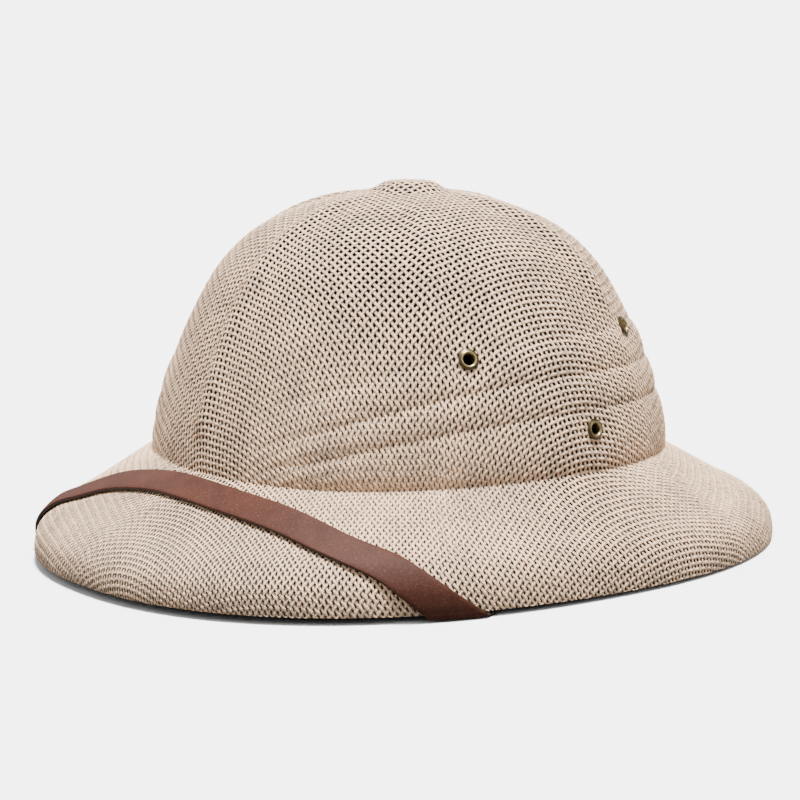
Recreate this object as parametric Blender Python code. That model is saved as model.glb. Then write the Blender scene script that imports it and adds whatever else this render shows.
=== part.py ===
"""Pith helmet moulded from woven straw, with a dark lining, six eyelets and a leather chin strap.

The hat stands on its brim with the front towards -Y. Lengths are in metres and turns in degrees,
0 at the front and 90 at the wearer's left, which is +X. A level runs along the hat's profile:
-6 at the rim, 0 at the join of brim and crown, 3 at the top of the pleated band, 4 at the top.
"""

import math

import bmesh
import bpy
from mathutils import Euler, Vector

# Plan of the hat
BRIM_HALF_LENGTH = 0.1755
BRIM_HALF_WIDTH = 0.1420
CROWN_HALF_LENGTH = 0.1150
CROWN_HALF_WIDTH = 0.1105
CROWN_SET_FORWARD = 0.0010
PLAN_POWER = 2.25  # 2 is an ellipse, more is squarer
SIDE_FULLNESS = 0.05  # how much rounder the crown's plan is at the top than at the join

# Heights
CROWN_HEIGHT = 0.1170
BRIM_DROP = 0.0450
JOIN_DIP = 0.0010  # the join lies this much lower at front and back, and higher at the sides

# Walls and clearances
SHELL_WALL = 0.0015
LINING_WALL = 0.0010
GAP = 0.0003
FACET_SAG = 0.0006  # how far the lining's flat facets stand inside its curve

# Moulded relief
RIDGE_HEIGHT = 0.0018
RIDGE_REACH = 0.0090
RIDGE_START = 0.15  # share of the way from the band to the top where the ridges reach full height
RIDGE_FADE = 0.0390  # the ridges die away over this length towards the button
GORES = 6
BUTTON_HEIGHT = 0.0038
BUTTON_RADIUS = 0.0195
BUTTON_FLAT = 0.0090
PLEAT_HEIGHT = 0.0013
PLEAT_ROUND = 0.7  # below 1 the pleats are fuller beside their grooves
PLEAT_START = 14.0
PLEAT_FULL = 46.0
PLEAT_FAN = 11.0  # how tightly the pleats draw together at the front

# Eyelets
EYELET_HOLE = 0.0053
EYELET_BARREL = 0.0060
EYELET_RIM = 0.0092
EYELET_BACK = 0.0084
EYELET_THICK = 0.0008
EYELET_BEVEL = 0.0004
EYELET_FLAT = 0.0060  # the straw is pressed flat this far from an eyelet's centre
EYELET_FADE = 0.0080
EYELET_SIDES = 10
EYELET_CUT = 0.0100  # the hole's cutter reaches this far both ways

# Chin strap and its two studs
STRAP_WIDTH = 0.0150
STRAP_THICK = 0.0016
STRAP_TAIL = 0.0400
STRAP_CLEAR = 0.0005
STRAP_TAIL_CLEAR = 0.0012
STRAP_TAIL_PLACE = 3.0  # about where the tail's end lies, as a row of BRIM_FORM
STRAP_STATIONS = 34
STRAP_CUTS = 4
STRAP_BUNCH = 0.55  # how much closer the strap's sections lie near the rim than at the front
STRAP_REST = 0.0560  # the strap's loops touch the surface this far ahead of the brim's centre
STUD_INSET = 0.0080
STUD_SHANK = 0.0030
STUD_HEAD = 0.0070
STUD_HEAD_TOP = 0.0056
STUD_HEAD_THICK = 0.0012
STUD_BITE = 0.0008
STUD_SIDES = 14

# How full the crown is at each rise, beside an ellipse: (rise, fullness), rises evenly spaced
CROWN_FORM = (
    (0.00, 1.000),
    (0.15, 0.987),
    (0.30, 0.975),
    (0.45, 0.975),
    (0.60, 0.994),
    (0.75, 1.047),
    (0.90, 1.110),
    (1.05, 1.100),
)

# The brim's profile from the join to the rim: (share of the way out, share of the drop)
BRIM_FORM = (
    (0.000, 0.00),
    (0.300, 0.21),
    (0.600, 0.42),
    (0.805, 0.55),
    (0.955, 0.72),
    (1.000, 0.88),
    (1.000, 1.00),
)

# Grooves between the pleats, as shares of the crown's height: (at the sides and back, at the front)
PLEAT_LINES = (
    (0.000, 0.000),
    (0.230, 0.010),
    (0.360, 0.085),
    (0.495, 0.205),
)

# Eyelets on the left side, mirrored to the right: (name, turn, share of the crown's height)
EYELETS = (
    ("front", 68.7, 0.448),
    ("low", 100.8, 0.156),
    ("back", 125.7, 0.495),
)

# The middle of the strap over the brim: (turn, row of BRIM_FORM)
STRAP_ROUTE = (
    (-41.5, 6.00),
    (-37.0, 4.10),
    (-31.0, 2.45),
    (-23.5, 1.47),
    (-15.5, 0.95),
    (-4.0, 0.62),
    (9.5, 0.61),
    (23.4, 0.82),
    (34.0, 1.16),
    (42.0, 1.62),
    (49.0, 2.25),
    (55.5, 3.12),
    (60.0, 4.05),
    (63.0, 4.95),
    (65.7, 6.00),
)

# The hidden tail: (share of its length, share of its turning flat under the brim)
TAIL_ROWS = (
    (0.25, 0.38),
    (0.60, 0.90),
    (1.00, 1.00),
)

# Surfaces: (name, colour, roughness, metallic)
STRAW_LOOK = ("straw", (0.62, 0.52, 0.42), 0.8, 0.0)
CLOTH_LOOK = ("dark_cloth", (0.03, 0.035, 0.035), 0.9, 0.0)
LEATHER_LOOK = ("brown_leather", (0.16, 0.055, 0.035), 0.45, 0.0)
BRASS_LOOK = ("old_brass", (0.42, 0.33, 0.17), 0.35, 1.0)

# Levels of the mesh rows, and turns of its columns inside one gore
OUTER_LEVELS = (
    [-6.0, -5.5, -5.0, -4.5, -4.0, -3.5, -3.0, -2.0, -1.0, 0.0]
    + [pleat + part for pleat in range(3) for part in (0.18, 0.5, 0.82, 1.0)]
    + [3.12, 3.25, 3.38, 3.51, 3.64, 3.75, 3.83, 3.88, 3.93]
)
INNER_LEVELS = [-6.0, -5.0, -4.0, -3.0, -1.5, 0.0, 0.5, 1.0, 2.0, 3.0, 3.1, 3.25, 3.4, 3.6, 3.8, 3.92]
GORE_TURNS = (0.0, 3.0, 9.0, 16.5, 24.0, 30.0, 36.0, 43.5, 51.0, 57.0)
LINING_TURNS = (0.0, 9.0, 16.5, 24.0, 30.0, 36.0, 43.5, 51.0)

RIM_PLACE = len(BRIM_FORM) - 1
BAND_TOP = len(PLEAT_LINES) - 1
TOP_LEVEL = BAND_TOP + 1
LINING_DEPTH = SHELL_WALL + GAP  # from the straw's outer face to the lining
STACK = LINING_DEPTH + LINING_WALL
RIM_LEAN = (STRAP_THICK + STRAP_CLEAR) / (BRIM_HALF_LENGTH + STRAP_REST)
JOIN_HEIGHT = RIM_LEAN * BRIM_HALF_LENGTH + BRIM_DROP
# How the strap goes round the rim: (depth of the corner inside the straw's face, facing)
RIM_CORNERS = (
    (0.0, 0.0),
    (0.0, 40.0),
    (LINING_DEPTH, 70.0),
    (STACK + FACET_SAG, 90.0),
    (STACK + FACET_SAG, 135.0),
    (STACK + FACET_SAG, 175.0),
)

# Steps of the sums below
SMALL_TURN = 0.05
SMALL_STEP = 0.004
ROUTE_STEP = 0.05
ROUTE_PARTS = 8  # places looked at for each row of STRAP_ROUTE
ROUTE_SPARE = 3  # rows looked at past both of its ends
LOCATE_ROUNDS = 8
SEAT_ROUNDS = 12
STEEPEST = 89.5


def curve(rows, place):
    """A smooth curve through the rows, read at any place, and straight on past both ends."""
    last = len(rows) - 1
    if place < 0:
        return [p + (q - p) * place for p, q in zip(rows[0], rows[1])]
    if place > last:
        return [q + (q - p) * (place - last) for p, q in zip(rows[-2], rows[-1])]
    i = min(int(place), last - 1)
    t = place - i
    b, c = rows[i], rows[i + 1]
    a = rows[i - 1] if i > 0 else [2 * p - q for p, q in zip(b, c)]
    d = rows[i + 2] if i + 2 <= last else [2 * q - p for p, q in zip(b, c)]
    return [
        q + t * ((r - p) / 2 + t * (p - 2.5 * q + 2 * r - s / 2 + t * ((s - p) / 2 + 1.5 * (q - r))))
        for p, q, r, s in zip(a, b, c, d)
    ]


def mix(a, b, share):
    return a + (b - a) * share


def ease(x):
    x = min(max(x, 0.0), 1.0)
    return x * x * (3 - 2 * x)


def plan(turn, half_length, half_width):
    """A point on the hat's plan outline, as (x, y)."""
    forward, side = math.cos(math.radians(turn)), math.sin(math.radians(turn))
    reach = (abs(forward) ** PLAN_POWER + abs(side) ** PLAN_POWER) ** (-1 / PLAN_POWER)
    return half_width * side * reach, -half_length * forward * reach


def rim_height(y):
    """Height of the lower edge, which leans so that the hat rests on its back and its strap."""
    return RIM_LEAN * (BRIM_HALF_LENGTH - y)


def join_point(turn):
    x, y = plan(turn, CROWN_HALF_LENGTH, CROWN_HALF_WIDTH)
    dip = JOIN_DIP * math.cos(2 * math.radians(turn))
    return Vector((x, y - CROWN_SET_FORWARD, JOIN_HEIGHT - dip))


def brim_point(turn, place):
    """A point on the brim's outer face. Past the rim, the lip goes on straight down."""
    out, drop = curve(BRIM_FORM, place)
    start = join_point(turn)
    x, y = plan(turn, BRIM_HALF_LENGTH, BRIM_HALF_WIDTH)
    end = Vector((x, y, rim_height(y)))
    return Vector(
        (
            start.x + (end.x - start.x) * out,
            start.y + (end.y - start.y) * out,
            start.z + (end.z - start.z) * drop,
        )
    )


def crown_point(turn, angle):
    """A point on the crown's smooth form, at an angle from the join, 0, to the top, 90."""
    rise = math.sin(math.radians(angle))
    full = curve(CROWN_FORM, max(rise, 0.0) / CROWN_FORM[1][0])[1]
    across = math.cos(math.radians(angle)) * full
    start = join_point(turn)
    return Vector(
        (
            start.x * across * (1 + SIDE_FULLNESS * rise),
            (start.y + CROWN_SET_FORWARD) * across - CROWN_SET_FORWARD,
            start.z + (JOIN_HEIGHT + CROWN_HEIGHT - start.z) * rise,
        )
    )


def level_rise(turn, level):
    """How high up the crown a level lies at this turn, as a share, up to the band's top."""
    fan = abs(math.cos(math.radians(turn / 2))) ** PLEAT_FAN
    i = min(int(level), BAND_TOP - 1)
    low, high = (side + (front - side) * fan for side, front in (PLEAT_LINES[i], PLEAT_LINES[i + 1]))
    return low + (high - low) * (level - i)


def level_angle(turn, level):
    if level <= BAND_TOP:
        return math.degrees(math.asin(level_rise(turn, level)))
    start = math.degrees(math.asin(level_rise(turn, BAND_TOP)))
    return start + (90 - start) * (level - BAND_TOP)


def base_point(turn, level):
    return brim_point(turn, -level) if level < 0 else crown_point(turn, level_angle(turn, level))


def facing(point_at, turn, place, step):
    """The outward normal of a surface given as point_at(turn, place), step pointing up the hat."""
    along = point_at(turn + SMALL_TURN, place) - point_at(turn - SMALL_TURN, place)
    up = point_at(turn, place + step) - point_at(turn, place - step)
    return along.cross(up).normalized()


def brim_facing(turn, place):
    return facing(brim_point, turn, place, -SMALL_STEP)


def crown_facing(turn, angle):
    return facing(crown_point, turn, min(angle, STEEPEST), math.degrees(SMALL_STEP))


def base_facing(turn, level):
    """The way a wall's thickness runs. At the join it lies between the two walls, and is longer."""
    if level < 0:
        return brim_facing(turn, -level)
    if level > 0:
        return crown_facing(turn, level_angle(turn, level))
    both = brim_facing(turn, 0) + crown_facing(turn, 0)
    return both * 2 / both.length_squared


def eyelet_seat(turn, share):
    angle = math.degrees(math.asin(share))
    return crown_point(turn, angle), crown_facing(turn, angle)


EYELET_SEATS = {
    f"eyelet_{side}_{name}": eyelet_seat(sign * turn, share)
    for name, turn, share in EYELETS
    for side, sign in (("left", 1), ("right", -1))
}


def relief(turn, level):
    """How far the moulded ridges, pleats and button stand out from the smooth form."""
    if level <= 0:
        return 0.0
    turn = (turn + 180) % 360 - 180
    point = base_point(turn, level)
    from_axis = math.hypot(point.x, point.y + CROWN_SET_FORWARD)
    if level < BAND_TOP:
        part = level % 1
        swell = (4 * part * (1 - part)) ** PLEAT_ROUND
        raised = PLEAT_HEIGHT * swell * ease((abs(turn) - PLEAT_START) / (PLEAT_FULL - PLEAT_START))
        ridge_share = 1 - ease((abs(turn) - PLEAT_START) / PLEAT_START)
        ridge_share *= ease(level - BAND_TOP + 1)
    else:
        raised = 0.0
        ridge_share = 1.0
        if abs(turn) > PLEAT_START:
            ridge_share = ease((level - BAND_TOP) / RIDGE_START)
    gore = 360 / GORES
    off_ridge = abs((turn + gore / 2) % gore - gore / 2)
    away = math.radians(off_ridge) * from_axis / RIDGE_REACH
    ridge = RIDGE_HEIGHT * max(1 - away * away, 0.0) ** 2 * ridge_share
    ridge *= ease((from_axis - BUTTON_FLAT) / RIDGE_FADE)
    button = BUTTON_HEIGHT * ease((BUTTON_RADIUS - from_axis) / (BUTTON_RADIUS - BUTTON_FLAT))
    near = min((point - seat).length for seat, _ in EYELET_SEATS.values())
    return (raised + ridge) * ease((near - EYELET_FLAT) / EYELET_FADE) + button


def wall_point(turn, level, depth, raised):
    """A point of a wall, depth inside the smooth form. Its lower edge lies flat."""
    height = relief(turn, level) if raised else 0.0
    point = base_point(turn, level) + base_facing(turn, level) * (height - depth)
    if level == -RIM_PLACE:
        point.z = rim_height(point.y)
    return point


def new_material(name, colour, roughness, metallic):
    material = bpy.data.materials.new(name)
    material.use_nodes = True
    shader = material.node_tree.nodes["Principled BSDF"]
    shader.inputs["Base Color"].default_value = (*colour, 1)
    shader.inputs["Roughness"].default_value = roughness
    shader.inputs["Metallic"].default_value = metallic
    return material


def new_object(name, mesh_maker, material, parent):
    """An object from a bmesh, with its faces outward and shaded smooth."""
    mesh = bpy.data.meshes.new(name)
    bmesh.ops.recalc_face_normals(mesh_maker, faces=mesh_maker.faces)
    mesh_maker.to_mesh(mesh)
    mesh_maker.free()
    mesh.shade_smooth()
    mesh.set_sharp_from_angle(angle=math.radians(40))
    mesh.materials.append(material)
    made = bpy.data.objects.new(name, mesh)
    made.parent = parent
    bpy.context.scene.collection.objects.link(made)
    return made


def bridge(mesh_maker, ring, other):
    for i in range(len(ring)):
        j = (i + 1) % len(ring)
        mesh_maker.faces.new((ring[i], ring[j], other[j], other[i]))


def wall_rings(mesh_maker, turns, levels, depth, raised):
    """Rings of vertices from the rim up, closed by a vertex at the top. It returns the rim's ring."""
    rings = []
    for level in levels:
        rings.append([mesh_maker.verts.new(wall_point(turn, level, depth, raised)) for turn in turns])
    top = mesh_maker.verts.new(wall_point(0.0, TOP_LEVEL, depth, raised))
    for low, high in zip(rings, rings[1:]):
        bridge(mesh_maker, low, high)
    for i, vertex in enumerate(rings[-1]):
        mesh_maker.faces.new((vertex, rings[-1][(i + 1) % len(turns)], top))
    return rings[0]


def new_wall(name, turns, outer_levels, depth, thick, material, parent):
    """A hollow wall that follows the hat, from depth to depth + thick inside its outer form."""
    columns = [gore * 360 / GORES + turn for gore in range(GORES) for turn in turns]
    raised = depth == 0
    mesh_maker = bmesh.new()
    outer = wall_rings(mesh_maker, columns, outer_levels, depth, raised)
    inner = wall_rings(mesh_maker, columns, INNER_LEVELS, depth + thick, False)
    bridge(mesh_maker, outer, inner)
    return new_object(name, mesh_maker, material, parent)


def turned(profile, sides):
    """A closed profile of (radius, height) turned round Z, as a bmesh. Radius 0 makes a pole."""
    mesh_maker = bmesh.new()
    rings = []
    for radius, height in profile:
        if radius == 0:
            rings.append([mesh_maker.verts.new((0, 0, height))] * sides)
            continue
        corners = [Vector((radius, 0, height)) for _ in range(sides)]
        for k, corner in enumerate(corners):
            corner.rotate(Euler((0, 0, 2 * math.pi * k / sides)))
        rings.append([mesh_maker.verts.new(corner) for corner in corners])
    pairs = list(zip(rings, rings[1:]))
    if profile[0][0] != 0:
        pairs.append((rings[-1], rings[0]))
    for ring, other in pairs:
        for k in range(sides):
            j = (k + 1) % sides
            mesh_maker.faces.new(list(dict.fromkeys((ring[k], ring[j], other[j], other[k]))))
    return mesh_maker


def stand_on(made, point, axis):
    """Places an object made round Z at a point, with its Z along an axis."""
    made.location = point
    made.rotation_mode = "QUATERNION"
    made.rotation_quaternion = axis.to_track_quat("Z", "Y")


def cut(target, name, point, axis, radius, low, high, sides):
    """Drills a round hole in the target, from low to high along the axis."""
    profile = [(0, low), (radius, low), (radius, high), (0, high)]
    cutter = new_object(name, turned(profile, sides), None, target.parent)
    stand_on(cutter, point, axis)
    cutter.hide_render = True
    cutter.display_type = "WIRE"
    modifier = target.modifiers.new(name, "BOOLEAN")
    modifier.operation = "DIFFERENCE"
    modifier.solver = "EXACT"
    modifier.object = cutter


def new_eyelet(name, point, axis, material, parent):
    """A grommet whose rim lies on the straw and whose back is rolled over the lining."""
    hole, barrel, rim, back = (size / 2 for size in (EYELET_HOLE, EYELET_BARREL, EYELET_RIM, EYELET_BACK))
    under = -STACK - FACET_SAG - GAP
    lowest = under - EYELET_THICK
    highest = GAP + EYELET_THICK
    profile = [
        (hole, lowest + EYELET_BEVEL),
        (hole + EYELET_BEVEL, lowest),
        (back, lowest + EYELET_BEVEL),
        (back, under),
        (barrel, under),
        (barrel, GAP),
        (rim, GAP),
        (rim, highest - EYELET_BEVEL),
        (hole + EYELET_BEVEL, highest),
        (hole, highest - EYELET_BEVEL),
    ]
    made = new_object(name, turned(profile, EYELET_SIDES), material, parent)
    stand_on(made, point, axis)
    return made


def locate(point, turn, place):
    """The turn and place of the brim's point nearest to a given one, from a guess close by."""
    for _ in range(LOCATE_ROUNDS):
        here = brim_point(turn, place)
        by_turn = (brim_point(turn + SMALL_TURN, place) - here) / SMALL_TURN
        by_place = (brim_point(turn, place + SMALL_STEP) - here) / SMALL_STEP
        miss = point - here
        a, b, c = by_turn.dot(by_turn), by_turn.dot(by_place), by_place.dot(by_place)
        u, v = miss.dot(by_turn), miss.dot(by_place)
        turn += (c * u - b * v) / (a * c - b * b)
        place += (a * v - b * u) / (a * c - b * b)
    return turn, place


def rim_crossing(above, past):
    """Where a line between two (turn, place) pairs meets the rim."""
    share = (RIM_PLACE - above[1]) / (past[1] - above[1])
    return mix(above[0], past[0], share), float(RIM_PLACE)


def strap_edge(side):
    """One edge of the strap over the brim, as (turn, place), from rim to rim. side is 1 or -1."""
    last = len(STRAP_ROUTE) - 1
    found = []
    for k in range(-ROUTE_SPARE * ROUTE_PARTS, (last + ROUTE_SPARE) * ROUTE_PARTS + 1):
        turn, place = curve(STRAP_ROUTE, k / ROUTE_PARTS)
        middle = brim_point(turn, place)
        ahead = brim_point(*curve(STRAP_ROUTE, k / ROUTE_PARTS + ROUTE_STEP)) - middle
        across = ahead.cross(brim_facing(turn, place)).normalized()
        found.append(locate(middle + across * side * STRAP_WIDTH / 2, turn, place))
    inside = [k for k, (_, place) in enumerate(found) if place < RIM_PLACE]
    first, final = inside[0], inside[-1]
    start = rim_crossing(found[first], found[first - 1])
    end = rim_crossing(found[final], found[final + 1])
    return [start] + found[first : final + 1] + [end]


def spread(places, count):
    """The same run of (turn, place), read at count + 1 distances that bunch up at both ends."""
    points = [brim_point(*at) for at in places]
    reached = [0.0]
    for p, q in zip(points, points[1:]):
        reached.append(reached[-1] + (q - p).length)
    result = []
    k = 0
    for step in range(count + 1):
        bunched = (1 - math.cos(math.pi * step / count)) / 2
        want = reached[-1] * mix(step / count, bunched, STRAP_BUNCH)
        while k < len(places) - 2 and reached[k + 1] < want:
            k += 1
        share = (want - reached[k]) / (reached[k + 1] - reached[k])
        result.append(tuple(p + (q - p) * share for p, q in zip(places[k], places[k + 1])))
    return result


def rim_section(turns, corner, shift):
    """The strap's (point, facing) pairs across its width where it passes a corner of the rim."""
    depth, angle = corner
    section = []
    for k in range(STRAP_CUTS + 1):
        turn = mix(turns[0], turns[1], k / STRAP_CUTS) + shift
        outward = brim_facing(turn, RIM_PLACE)
        edge = brim_point(turn, RIM_PLACE) - outward * depth
        edge.z = rim_height(edge.y)
        face = outward * math.cos(math.radians(angle)) - Vector((0, 0, math.sin(math.radians(angle))))
        section.append((edge + face * STRAP_CLEAR, face))
    return section


def strap_tail(section, way):
    """The hidden end of the strap, straight from inside the rim to its stud under the brim."""
    start, facing_in = section[STRAP_CUTS // 2]
    across = section[0][0] - section[-1][0]
    along = Vector((across.x, across.y, 0)).normalized()
    inward = Vector((facing_in.x, facing_in.y, 0)).normalized()
    end = start + (along * math.cos(way) + inward * math.sin(way)) * STRAP_TAIL
    turn, place = math.degrees(math.atan2(start.x, -start.y)), STRAP_TAIL_PLACE
    for _ in range(SEAT_ROUNDS):
        end.z = brim_point(turn, place).z
        turn, place = locate(end, turn, place)
        face = -brim_facing(turn, place)
        seat = brim_point(turn, place) + face * (STACK + STRAP_TAIL_CLEAR)
        end = start + (seat - start).normalized() * STRAP_TAIL
    line = (end - start).normalized()
    face = (face - line * face.dot(line)).normalized()
    side = line.cross(face)
    side *= math.copysign(1, side.dot(across))
    ends = [end + side * STRAP_WIDTH * (0.5 - k / STRAP_CUTS) for k in range(STRAP_CUTS + 1)]
    sections = []
    for share, turned_by in TAIL_ROWS:
        row = []
        for (point, normal), target in zip(section, ends):
            row.append((mix(point, target, share), mix(normal, face, turned_by).normalized()))
        sections.append(row)
    return sections, end - line * STUD_INSET, face


def rim_wrap(turns, gone):
    """The strap's sections round the rim, for a strap that runs on the way it has gone."""
    along = brim_point(turns[0] + 1, RIM_PLACE) - brim_point(turns[0], RIM_PLACE)
    share = gone.normalized().dot(along.normalized())
    way = math.acos(abs(share))
    wraps = []
    girth = 0.0
    for corner, before in zip(RIM_CORNERS[1:], RIM_CORNERS):
        girth += corner[0] - before[0] + STRAP_CLEAR
        shift = math.copysign(girth / math.tan(way) / along.length, share)
        wraps.append(rim_section(turns, corner, shift))
    return wraps, way


def strap_sections():
    """All sections of the strap from stud to stud, and each stud's place and facing."""
    upper = spread(strap_edge(-1), STRAP_STATIONS)
    lower = spread(strap_edge(1), STRAP_STATIONS)
    over = []
    for first, other in zip(upper, lower):
        section = []
        for k in range(STRAP_CUTS + 1):
            turn, place = (mix(p, q, k / STRAP_CUTS) for p, q in zip(first, other))
            face = brim_facing(turn, place)
            section.append((brim_point(turn, place) + face * STRAP_CLEAR, face))
        over.append(section)
    ends, studs = [], []
    for i, before in ((0, 1), (STRAP_STATIONS, STRAP_STATIONS - 1)):
        gone = brim_point(*upper[i]) - brim_point(*upper[before])
        wraps, way = rim_wrap((upper[i][0], lower[i][0]), gone)
        tail, stud, face = strap_tail(wraps[-1], way)
        ends.append(wraps + tail)
        studs.append((stud, face))
    return ends[0][::-1] + over + ends[1], studs


def new_strap(sections, material, parent):
    mesh_maker = bmesh.new()
    rings = []
    for section in sections:
        inner = [mesh_maker.verts.new(point) for point, _ in section]
        outer = [mesh_maker.verts.new(point + face * STRAP_THICK) for point, face in section]
        rings.append(inner + outer[::-1])
    for ring, other in zip(rings, rings[1:]):
        bridge(mesh_maker, ring, other)
    for ring in (rings[0], rings[-1]):
        for k in range(STRAP_CUTS):
            mesh_maker.faces.new((ring[k], ring[k + 1], ring[-k - 2], ring[-k - 1]))
    return new_object("chin_strap", mesh_maker, material, parent)


def new_stud(name, point, face, targets, material, parent):
    """A plain stud through the strap's end and the lining, seated in the back of the straw."""
    radius = STUD_SHANK / 2
    low = STRAP_THICK + GAP
    reach = -(STRAP_TAIL_CLEAR + LINING_WALL + GAP + STUD_BITE)
    profile = [
        (0, reach),
        (radius, reach),
        (radius, low),
        (STUD_HEAD / 2, low),
        (STUD_HEAD_TOP / 2, low + STUD_HEAD_THICK),
        (0, low + STUD_HEAD_THICK),
    ]
    made = new_object(name, turned(profile, STUD_SIDES), material, parent)
    stand_on(made, point, face)
    for target in targets:
        hole = radius + GAP
        cut(target, f"{name}_hole_{target.name}", point, face, hole, reach - GAP, 2 * low, STUD_SIDES)


def main():
    for old in list(bpy.data.objects):
        bpy.data.objects.remove(old)
    hat = bpy.data.objects.new("pith_helmet", None)
    bpy.context.scene.collection.objects.link(hat)
    straw = new_material(*STRAW_LOOK)
    cloth = new_material(*CLOTH_LOOK)
    leather = new_material(*LEATHER_LOOK)
    brass = new_material(*BRASS_LOOK)

    shell = new_wall("straw_shell", GORE_TURNS, OUTER_LEVELS, 0.0, SHELL_WALL, straw, hat)
    lining = new_wall("lining", LINING_TURNS, INNER_LEVELS, LINING_DEPTH, LINING_WALL, cloth, hat)
    for name, (point, axis) in EYELET_SEATS.items():
        new_eyelet(name, point, axis, brass, hat)
        for wall in (shell, lining):
            hole = f"{name}_hole_{wall.name}"
            radius = EYELET_BARREL / 2 + GAP
            cut(wall, hole, point, axis, radius, -EYELET_CUT, EYELET_CUT, EYELET_SIDES)

    sections, studs = strap_sections()
    strap = new_strap(sections, leather, hat)
    for side, (point, face) in zip(("right", "left"), studs):
        new_stud(f"strap_stud_{side}", point, face, (shell, lining, strap), brass, hat)


main()
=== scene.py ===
import math

import bmesh
import bpy
from mathutils import Euler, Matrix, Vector


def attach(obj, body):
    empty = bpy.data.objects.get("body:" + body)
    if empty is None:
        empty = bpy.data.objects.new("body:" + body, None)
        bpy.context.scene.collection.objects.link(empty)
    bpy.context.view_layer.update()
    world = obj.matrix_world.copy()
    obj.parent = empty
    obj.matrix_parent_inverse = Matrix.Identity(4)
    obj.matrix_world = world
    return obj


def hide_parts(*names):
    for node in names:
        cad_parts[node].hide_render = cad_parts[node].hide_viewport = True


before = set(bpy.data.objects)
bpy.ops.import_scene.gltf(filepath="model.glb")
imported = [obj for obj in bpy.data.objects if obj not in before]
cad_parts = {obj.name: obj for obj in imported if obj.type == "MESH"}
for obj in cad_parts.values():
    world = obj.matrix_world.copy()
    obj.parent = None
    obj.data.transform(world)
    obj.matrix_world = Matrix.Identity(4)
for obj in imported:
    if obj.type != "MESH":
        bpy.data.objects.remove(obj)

bl_info = {
    "name": "Pith helmet looks",
    "version": (1, 0, 0),
    "blender": (4, 5, 0),
    "location": "View3D > Sidebar > Hat",
    "description": "Woven straw, lining, leather strap and brass eyelets for the packed pith helmet",
    "category": "Object",
}

# Form of the hat, as in the CAD source. Lengths are in metres and turns in degrees from the front.
BRIM_HALF_LENGTH = 0.1755
BRIM_HALF_WIDTH = 0.1420
CROWN_HALF_LENGTH = 0.1150
CROWN_HALF_WIDTH = 0.1105
CROWN_SET_FORWARD = 0.0010
PLAN_POWER = 2.25
SIDE_FULLNESS = 0.05
CROWN_HEIGHT = 0.1170
BRIM_DROP = 0.0450
JOIN_DIP = 0.0010
SHELL_WALL = 0.0015
LINING_WALL = 0.0010
GAP = 0.0003
RIDGE_HEIGHT = 0.0018
RIDGE_REACH = 0.0090
RIDGE_START = 0.15
RIDGE_FADE = 0.0390
GORES = 6
BUTTON_HEIGHT = 0.0038
BUTTON_RADIUS = 0.0195
BUTTON_FLAT = 0.0090
PLEAT_HEIGHT = 0.0013
PLEAT_ROUND = 0.7
PLEAT_START = 14.0
PLEAT_FULL = 46.0
PLEAT_FAN = 11.0
EYELET_FLAT = 0.0060
EYELET_FADE = 0.0080
STRAP_WIDTH = 0.0150
STRAP_THICK = 0.0016
STRAP_TAIL = 0.0400
STRAP_CLEAR = 0.0005
STRAP_TAIL_CLEAR = 0.0012
STRAP_TAIL_PLACE = 3.0
STRAP_REST = 0.0560
STUD_INSET = 0.0080
STUD_SHANK = 0.0030
STUD_HEAD = 0.0070
STUD_HEAD_TOP = 0.0056
STUD_HEAD_THICK = 0.0012
STUD_BITE = 0.0008

# (rise, fullness beside an ellipse)
CROWN_FORM = (
    (0.00, 1.000),
    (0.15, 0.987),
    (0.30, 0.975),
    (0.45, 0.975),
    (0.60, 0.994),
    (0.75, 1.047),
    (0.90, 1.110),
    (1.05, 1.100),
)

# (share of the way out, share of the drop)
BRIM_FORM = (
    (0.000, 0.00),
    (0.300, 0.21),
    (0.600, 0.42),
    (0.805, 0.55),
    (0.955, 0.72),
    (1.000, 0.88),
    (1.000, 1.00),
)

# Grooves between the pleats, as shares of the crown's height: (at the sides and back, at the front)
PLEAT_LINES = (
    (0.000, 0.000),
    (0.230, 0.010),
    (0.360, 0.085),
    (0.495, 0.205),
)

# (name, turn, share of the crown's height)
EYELETS = (
    ("front", 68.7, 0.448),
    ("low", 100.8, 0.156),
    ("back", 125.7, 0.495),
)

# The middle of the strap over the brim: (turn, row of BRIM_FORM)
STRAP_ROUTE = (
    (-41.5, 6.00),
    (-37.0, 4.10),
    (-31.0, 2.45),
    (-23.5, 1.47),
    (-15.5, 0.95),
    (-4.0, 0.62),
    (9.5, 0.61),
    (23.4, 0.82),
    (34.0, 1.16),
    (42.0, 1.62),
    (49.0, 2.25),
    (55.5, 3.12),
    (60.0, 4.05),
    (63.0, 4.95),
    (65.7, 6.00),
)

# The hidden tail: (share of its length, share of its turning flat under the brim)
TAIL_ROWS = (
    (0.25, 0.38),
    (0.60, 0.90),
    (1.00, 1.00),
)

RIM_PLACE = len(BRIM_FORM) - 1
BAND_TOP = len(PLEAT_LINES) - 1
TOP_LEVEL = BAND_TOP + 1
LINING_DEPTH = SHELL_WALL + GAP
STACK = LINING_DEPTH + LINING_WALL
RIM_LEAN = (STRAP_THICK + STRAP_CLEAR) / (BRIM_HALF_LENGTH + STRAP_REST)
JOIN_HEIGHT = RIM_LEAN * BRIM_HALF_LENGTH + BRIM_DROP

# Steps of the sums below
SMALL_TURN = 0.05
SMALL_STEP = 0.004
STEEPEST = 89.5


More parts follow.
